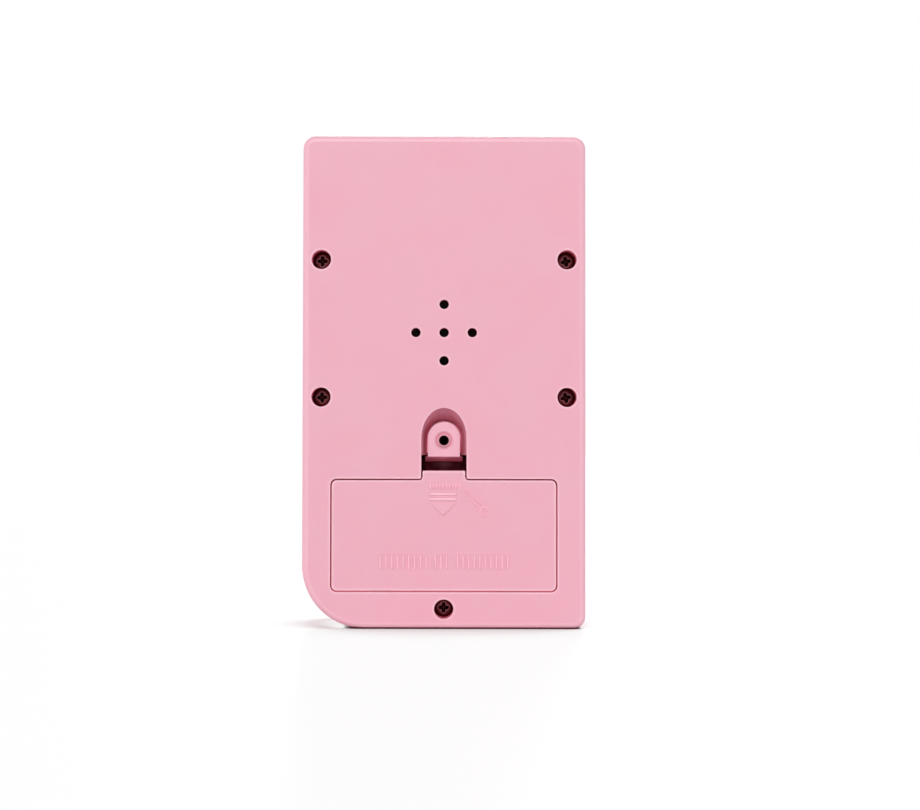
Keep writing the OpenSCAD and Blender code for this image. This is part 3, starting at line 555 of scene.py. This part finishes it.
# Colour, colour of its clouds and roughness, then, where they aren't the usual ones, the grain's size
# and depth in millimetres
PLASTICS = {
    # Raised lines: a lighter copy of the door's pink, painted light on their tops
    "line_pink_lit": ((1.0, 0.58, 0.67), (0.98, 0.56, 0.65), 0.4),
    "arrow_pink": ((0.88, 0.46, 0.555), (0.89, 0.44, 0.54), 0.4),
    "frame_white": ((0.78, 0.78, 0.75), (0.72, 0.72, 0.7), 0.45),
    "zebra_pink": ((0.62, 0.2, 0.25), (0.5, 0.15, 0.2), 0.55),
    "resin_black": ((0.006, 0.006, 0.006), (0.012, 0.012, 0.012), 0.12, 1.5, 0.03),
    "can_blue": ((0.02, 0.035, 0.13), (0.015, 0.025, 0.1), 0.25),
    "silicone_grey": ((0.62, 0.62, 0.59), (0.55, 0.55, 0.53), 0.6),
    "mark_grey": ((0.2, 0.17, 0.17), (0.25, 0.21, 0.21), 0.5, 0.3),
    "key_cream": ((0.9, 0.87, 0.8), (0.86, 0.82, 0.74), 0.34, 0.3, 0.003),
    "cone_black": ((0.006, 0.006, 0.006), (0.01, 0.01, 0.01), 0.85, 0.5, 0.05),
    "magnet_grey": ((0.045, 0.045, 0.05), (0.06, 0.06, 0.065), 0.6, 0.4, 0.03),
    "wire_red": ((0.5, 0.012, 0.012), (0.42, 0.01, 0.01), 0.35, 0.4, 0.01),
    "wire_black": ((0.01, 0.01, 0.01), (0.016, 0.016, 0.016), 0.35, 0.4, 0.01),
}

# Colour, colour where it is worn, roughness, and the wear's size in millimetres; then, where they
# aren't the usual ones, how metallic it is and whether it is a screw's head
METALS = {
    # The black screws' red tint is a painted reflection of the pink walls round their heads
    "screw_black": ((0.13, 0.018, 0.027), (0.08, 0.01, 0.015), 0.3, 0.5, 0.92, True),
    "screw_zinc": ((0.62, 0.62, 0.64), (0.45, 0.45, 0.46), 0.28, 0.4),
    "basket_steel": ((0.5, 0.5, 0.52), (0.38, 0.38, 0.4), 0.35, 1.0),
    "contact_nickel": ((0.72, 0.71, 0.69), (0.5, 0.49, 0.47), 0.22, 1.0),
}

MATERIALS = {
    "shell_pink": shell_plastic("shell_pink"),
    "door_pink": shell_plastic("door_pink", local=False),
    "lens_clear": clear_lens("lens_clear"),
    "lcd_grey": lcd_glass("lcd_grey"),
    "board_green": board("board_green"),
    "cell_jacket": cell_jacket("cell_jacket"),
    **{name: plastic(name, *finish) for name, finish in PLASTICS.items()},
    **{name: metal(name, *finish) for name, finish in METALS.items()},
}

for part in frame["record"]["subparts"]:
    node = NODES[part["node"]]
    finish = "door_pink" if part["node"] == "battery_door" else part["material_slot"]
    node.data.materials.clear()
    node.data.materials.append(MATERIALS[finish])


# ---------- Smooth faces of the CAD nodes ----------

# Points closer than this are one, and faces that turn less than this are one plane
SAME_POINT = 0.0005 * MM
SAME_PLANE = math.radians(0.6)
EVENED_NODES = (
    "rear_cover", "front_cover", "battery_door",
    "up_key", "down_key", "left_key", "right_key", "action_key_a", "action_key_b",
    "chip_blob", "speaker_cone",
)


def even_faces(obj):
    """Joins a node's split points, drops its flat seams and evens its shading."""
    weld = obj.modifiers.new("join", "WELD")
    weld.merge_threshold = SAME_POINT
    flat = obj.modifiers.new("drop_seams", "DECIMATE")
    flat.decimate_type = "DISSOLVE"
    flat.angle_limit = SAME_PLANE
    weighted_normals(obj)


for name in EVENED_NODES:
    even_faces(NODES[name])


# ---------- Case screws ----------

# Each screw's place in X and Z in millimetres, and how far its driver recess is turned in degrees
SCREWS = ((-34, 102, -10), (34, 102, 0), (-34, 63.9, -12), (34, 63.9, -3), (0, 5.5, 1))
SCREW_SEAT_Y = 6.9
SCREW_STEPS = 96

# Driver recess: its radius between the arms, how much further the arms reach, how round they are,
# and rings that are shares of this outline, with their heights above the seat
CROSS_WAIST = 0.74
CROSS_ARM = 0.74
CROSS_ROUNDING = 1.5
CROSS_RINGS = (
    (0.16, 0.5), (0.5, 0.56), (0.8, 0.75), (0.88, 1.3),
    (0.95, 1.79), (1.0, 1.85), (1.05, 1.87),
)
MOUTH_SHARE, MOUTH_Y = CROSS_RINGS[-1]

# Head: the crown's radius and fall, then rings from its round edge to the neck, by radius and height
CROWN_R = 1.9
CROWN_FALL = 0.02
CROWN_BLENDS = (0.35, 0.7)
HEAD_RINGS = (
    (2.22, 1.84), (2.34, 1.78), (2.42, 1.66), (2.45, 1.45),
    (2.45, 0.08), (2.4, 0.0), (1.3, 0.0),
)

# Shank: radius of its core, the thread on it, and the rings of its tip
CORE_R = 1.0
THREAD_HEIGHT = 0.24
THREAD_STEEPNESS = 3.2
THREAD_PITCH = 1.05
THREAD_TOP = -0.2
THREAD_LENGTH = 14.4
THREAD_STEPS = 72
TIP_RINGS = ((0.8, -15.0), (0.3, -15.45))


def cross_r(angle):
    """Radius of the driver recess's mouth at an angle: four round arms."""
    return CROSS_WAIST + CROSS_ARM * abs(math.cos(2 * angle)) ** CROSS_ROUNDING


def thread_r(angle, y):
    """Radius of the thread at an angle and a height: one ridge that winds round the core."""
    turned = (y / THREAD_PITCH + angle / (2 * math.pi)) % 1
    return CORE_R + THREAD_HEIGHT * max(0.0, 1 - THREAD_STEEPNESS * abs(turned - 0.5))


def screw_rings():
    """Rings of a screw above its seat, from the bottom of its driver recess to the tip of its shank.

    Each ring is a function that gives the radius and the height at an angle.
    """
    rings = [lambda a, s=share, y=y: (cross_r(a) * s, y) for share, y in CROSS_RINGS]
    for blend in CROWN_BLENDS:
        y = MOUTH_Y - CROWN_FALL * blend
        rings.append(lambda a, b=blend, y=y: ((1 - b) * cross_r(a) * MOUTH_SHARE + b * CROWN_R, y))
    rings += [lambda a, r=r, y=y: (r, y) for r, y in HEAD_RINGS]
    for i in range(THREAD_STEPS + 1):
        y = THREAD_TOP - i * THREAD_LENGTH / THREAD_STEPS
        rings.append(lambda a, y=y: (thread_r(a, y), y))
    rings += [lambda a, r=r, y=y: (r, y) for r, y in TIP_RINGS]
    return rings


def case_screws():
    """Five pan head screws with a four-armed driver recess and a rolled thread."""
    bm = bmesh.new()
    rings = screw_rings()
    for x, z, turn in SCREWS:
        loops = []
        for ring in rings:
            loop = []
            for i in range(SCREW_STEPS):
                angle = 2 * math.pi * i / SCREW_STEPS
                r, y = ring(angle)
                way = angle + math.radians(turn)
                place = (x + r * math.cos(way), SCREW_SEAT_Y + y, z + r * math.sin(way))
                loop.append(bm.verts.new(place))
            loops.append(loop)
        for upper, lower in zip(loops, loops[1:]):
            for i in range(SCREW_STEPS):
                j = (i + 1) % SCREW_STEPS
                bm.faces.new((upper[i], upper[j], lower[j], lower[i]))
        bm.faces.new(loops[0])
        bm.faces.new(list(reversed(loops[-1])))
    return new_object("case_screw_set", bm, "screw_black")


screws = case_screws()
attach(screws, "shell")
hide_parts("case_screws")


# ---------- Raised marks on the battery door ----------

# How far the marks stand out of the door and reach into it, and half the run of their sloping sides
RELIEF = 0.2
SUNK = 0.05
SLOPE = 0.07
MARK_ROOT_Y = BACK_Y - SUNK
MARK_TOP_Y = BACK_Y + RELIEF

# Section of a raised line: which side of the path, level, and which way its slope moves the point
RIDGE_SECTION = ((1, MARK_ROOT_Y, 1), (1, MARK_TOP_Y, -1), (-1, MARK_TOP_Y, -1), (-1, MARK_ROOT_Y, 1))

# The two bars, by Z, the X of their ends and their width, and the rows of ribs, by first X, count,
# pitch, low Z, high Z and width
BARS_Z = (37.1, 35.7)
BAR_ENDS_X = (-3.35, 3.8)
BAR_W = 0.6
RIB_ROWS = (
    (-3.3, 9, 0.88, 38.5, 40.25, 0.3),
    (-17.6, 10, 1.53, 16.45, 20.4, 0.4),
    (-0.75, 3, 1.5, 16.45, 20.4, 0.4),
    (4.85, 9, 1.58, 16.45, 20.4, 0.4),
)

# Driver sign: its lines with their widths, and the ring at its end by X, Z and radius, with its width
DRIVER_LINES = (
    (((-4.1, 40.05), (-6.1, 37.8)), 0.2),
    (((-5.65, 37.35), (-6.15, 37.45), (-6.6, 37.85)), 0.26),
    (((-6.95, 37.5), (-10.3, 34.35)), 0.3),
    (((-6.75, 36.25), (-9.85, 33.25)), 0.34),
)
DRIVER_RING = (-11.1, 32.3, 1.2)
DRIVER_RING_W = 0.3

# Arrow head: its outline in X and Z, and the rounding of its upper edge
ARROW_HEAD = ((3.75, 34.62), (-3.3, 34.62), (0.05, 31.25), (0.4, 31.25))
ARROW_EDGE = 0.16


def ridge(bm, path, width, closed=False):
    """A raised line along a path in X and Z, with sloping sides and ends."""
    points = [Vector(p) for p in path]
    count = len(points)
    loops = []
    for i, point in enumerate(points):
        before = points[i - 1] if i or closed else None
        after = points[(i + 1) % count] if i + 1 < count or closed else None
        spans = (before and point - before, after and after - point)
        ways = [span.normalized() for span in spans if span]
        along = sum(ways, Vector((0, 0))).normalized()
        across = Vector((-along.y, along.x)) / along.dot(ways[0])
        end = 0 if closed else (i + 1 == count) - (i == 0)
        loop = []
        for side, y, step in RIDGE_SECTION:
            spot = point + across * side * (width / 2 + SLOPE * step) + along * end * SLOPE * step
            loop.append(bm.verts.new((spot.x, y, spot.y)))
        loops.append(loop)
    for first, second in zip(loops, loops[1:] + (loops[:1] if closed else [])):
        for i in range(4):
            j = (i + 1) % 4
            bm.faces.new((first[i], first[j], second[j], second[i]))
    if not closed:
        bm.faces.new(loops[0])
        bm.faces.new(list(reversed(loops[-1])))


def door_lines():
    """Bars, plain ribs and driver sign, raised from the door."""
    bm = bmesh.new()
    for z in BARS_Z:
        ridge(bm, [(x, z) for x in BAR_ENDS_X], BAR_W)
    for start, count, pitch, low, high, width in RIB_ROWS:
        for i in range(count):
            x = start + i * pitch
            ridge(bm, [(x, low), (x, high)], width)
    for path, width in DRIVER_LINES:
        ridge(bm, path, width)
    ridge(bm, disc(*DRIVER_RING), DRIVER_RING_W, closed=True)
    return new_object("door_lines", bm, "shell_pink", MATERIALS["line_pink_lit"])


def door_arrow():
    """Arrow head that shows which way the door opens."""
    bm = bmesh.new()
    prism(bm, ARROW_HEAD, MARK_ROOT_Y, MARK_TOP_Y, ARROW_EDGE)
    return new_object("door_arrow", bm, "shell_pink", MATERIALS["arrow_pink"])


for mark in (door_lines(), door_arrow()):
    weighted_normals(mark)
    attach(mark, "door")


# ---------- Raised arrows on the direction keys ----------

# Outline of an arrow that points along X, how far it stands out of the crown and reaches into it, and
# the rounding of its edge
KEY_ARROW = ((1.5, 0), (-0.8, 1.35), (-0.8, -1.35))
KEY_ARROW_PROUD = 0.1
KEY_ARROW_ROOT = 0.45
KEY_ARROW_EDGE = 0.08

# Each key's place in X and Z in millimetres, and the way that its arrow points in degrees
DIRECTION_KEYS = (
    ("up_key", -18.5, 43.2, 90),
    ("down_key", -18.5, 24.8, 270),
    ("left_key", -27.7, 34, 180),
    ("right_key", -9.3, 34, 0),
)


def key_arrow(key, x, z, way):
    """Small raised arrow on a key's crown, pointing a way in degrees."""
    turn = Matrix.Rotation(math.radians(way), 2)
    outline = [tuple(Vector((x, z)) + turn @ Vector(p)) for p in KEY_ARROW]
    bm = bmesh.new()
    prism(bm, outline, KEY_TOP_Y + KEY_ARROW_ROOT, KEY_TOP_Y - KEY_ARROW_PROUD, KEY_ARROW_EDGE)
    return new_object(key + "_arrow", bm, "key_cream", MATERIALS["mark_grey"])


for key, x, z, way in DIRECTION_KEYS:
    arrow = key_arrow(key, x, z, way)
    weighted_normals(arrow)
    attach(arrow, key)


# ---------- Studio ----------

# Each lamp's direction from the object, its level, and how many degrees it spans
LAMPS = {
    "key_lamp": ((0.15, 1.0, 0.8), 0.485, 15),
    "left_lamp": ((1.0, 0.3, 0.2), 0.23, 30),
    "right_lamp": ((-1.0, 0.3, 0.2), 0.2, 30),
    "front_lamp": ((-0.1, -1.0, 0.45), 0.5, 20),
}
WORLD_LEVEL = 0.27

# Floor: half its side in metres, its colours, the reaches in millimetres within which its painted shadow
# darkens it, how steeply that painted shadow fades, and its trace of reflection
FLOOR_HALF = 6
FLOOR_PLAIN = (0.85, 0.85, 0.85, 1)
FLOOR_SEEN = (1.0, 1.0, 1.0)
FLOOR_SHADE = (0.45, 0.26, 0.28)
FLOOR_CONTACT_SHADE = (0.07, 0.025, 0.03)
SHADE_REACH = 45
SHADE_CURVE = 3.75
CONTACT_SHADE_REACH = 1.5
FLOOR_GLOSS = 0.05
FLOOR_ROUGHNESS = 0.3


def far_lamp(name, way, level, spread):
    """A soft far lamp in a direction, with its level and how many degrees it spans."""
    data = bpy.data.lights.new(name, "SUN")
    data.energy = level * math.pi
    data.angle = math.radians(spread)
    lamp = link(bpy.data.objects.new(name, data))
    lamp.rotation_mode = "QUATERNION"
    lamp.rotation_quaternion = (-Vector(way)).to_track_quat("-Z", "Y")


def seen_white(tree):
    """One for rays from the camera, in a reflection or through clear plastic, nought for others."""
    path = tree.nodes.new("ShaderNodeLightPath")
    seen_by = ("Is Camera Ray", "Is Glossy Ray", "Is Transmission Ray")
    return largest(tree, *(path.outputs[name] for name in seen_by))


def make_world(level):
    """White where it is seen, and a plain even light elsewhere."""
    world = bpy.data.worlds.new("studio")
    world.use_nodes = True
    tree = world.node_tree
    back = tree.nodes["Background"]
    back.inputs["Color"].default_value = (1, 1, 1, 1)
    strength = remap(tree, seen_white(tree), 0.0, 1.0, level, 1.0)
    tree.links.new(strength, back.inputs["Strength"])
    bpy.context.scene.world = world


def mixed(tree, factor, first, second):
    """Two shaders mixed by a number or an output."""
    node = tree.nodes.new("ShaderNodeMixShader")
    if isinstance(factor, float):
        node.inputs["Fac"].default_value = factor
    else:
        tree.links.new(factor, node.inputs["Fac"])
    tree.links.new(first, node.inputs[1])
    tree.links.new(second, node.inputs[2])
    return node.outputs["Shader"]


def floor_material():
    """White where it is seen, with a painted shadow close to what stands on it, and a trace of
    reflection.
    """
    material = bpy.data.materials.new("floor_white")
    material.use_nodes = True
    tree = material.node_tree
    tree.nodes.clear()
    out = tree.nodes.new("ShaderNodeOutputMaterial")
    plain = tree.nodes.new("ShaderNodeBsdfDiffuse")
    plain.inputs["Color"].default_value = FLOOR_PLAIN

    # Painted shadow: darker the less open the floor is, and darkest where something touches it
    openness = near_edges(tree, SHADE_REACH, False, False)
    shade = product(tree, math_node(tree, "POWER", falling(tree, openness, 0.4, 1.0), SHADE_CURVE),
                    remap(tree, openness, 0.25, 0.48, 0.1, 1.0))
    colour = blend_colour(tree, shade, FLOOR_SEEN, FLOOR_SHADE)
    contact_shade = falling(tree, near_edges(tree, CONTACT_SHADE_REACH, False, False), 0.25, 0.52)
    glow = tree.nodes.new("ShaderNodeEmission")
    tree.links.new(tint(tree, colour, FLOOR_CONTACT_SHADE, contact_shade), glow.inputs["Color"])
    gloss = tree.nodes.new("ShaderNodeBsdfGlossy")
    gloss.inputs["Roughness"].default_value = FLOOR_ROUGHNESS

    seen = mixed(tree, FLOOR_GLOSS, glow.outputs["Emission"], gloss.outputs["BSDF"])
    shown = mixed(tree, seen_white(tree), plain.outputs["BSDF"], seen)
    tree.links.new(shown, out.inputs["Surface"])
    return material


def make_floor():
    """Plain white floor under the object."""
    bm = bmesh.new()
    bmesh.ops.create_grid(bm, x_segments=8, y_segments=8, size=FLOOR_HALF)
    mesh = bpy.data.meshes.new("floor")
    bm.to_mesh(mesh)
    bm.free()
    mesh.materials.append(floor_material())
    floor = link(bpy.data.objects.new("floor", mesh))


for name, (way, level, spread) in LAMPS.items():
    far_lamp(name, way, level, spread)
make_world(WORLD_LEVEL)
make_floor()


# ---------- Camera ----------

# Place in metres, tilt up, roll, and the lens in millimetres with its sideways shift
CAMERA_PLACE = (0.0018, 0.44358, 0.0515)
CAMERA_TILT = math.radians(1.364)
CAMERA_ROLL = math.radians(0.1)
CAMERA_LENS = 60.954
CAMERA_SHIFT_X = 0.02446


def make_camera():
    """Camera straight behind the back, at the height of the tongue, tilted up and rolled a little."""
    data = bpy.data.cameras.new("camera")
    data.sensor_width = 36
    data.lens = CAMERA_LENS
    data.shift_x = CAMERA_SHIFT_X
    data.clip_start = 0.01
    data.clip_end = 50
    camera = link(bpy.data.objects.new("camera", data))
    ahead = Vector((0, -math.cos(CAMERA_TILT), math.sin(CAMERA_TILT)))
    level = Vector((-1, 0, 0))
    right = level * math.cos(CAMERA_ROLL) + level.cross(ahead) * math.sin(CAMERA_ROLL)
    up = right.cross(ahead)
    turn = Matrix((right, up, -ahead)).transposed().to_4x4()
    camera.matrix_world = Matrix.Translation(CAMERA_PLACE) @ turn
    bpy.context.scene.camera = camera


make_camera()
bpy.context.scene.view_settings.view_transform = "Standard"
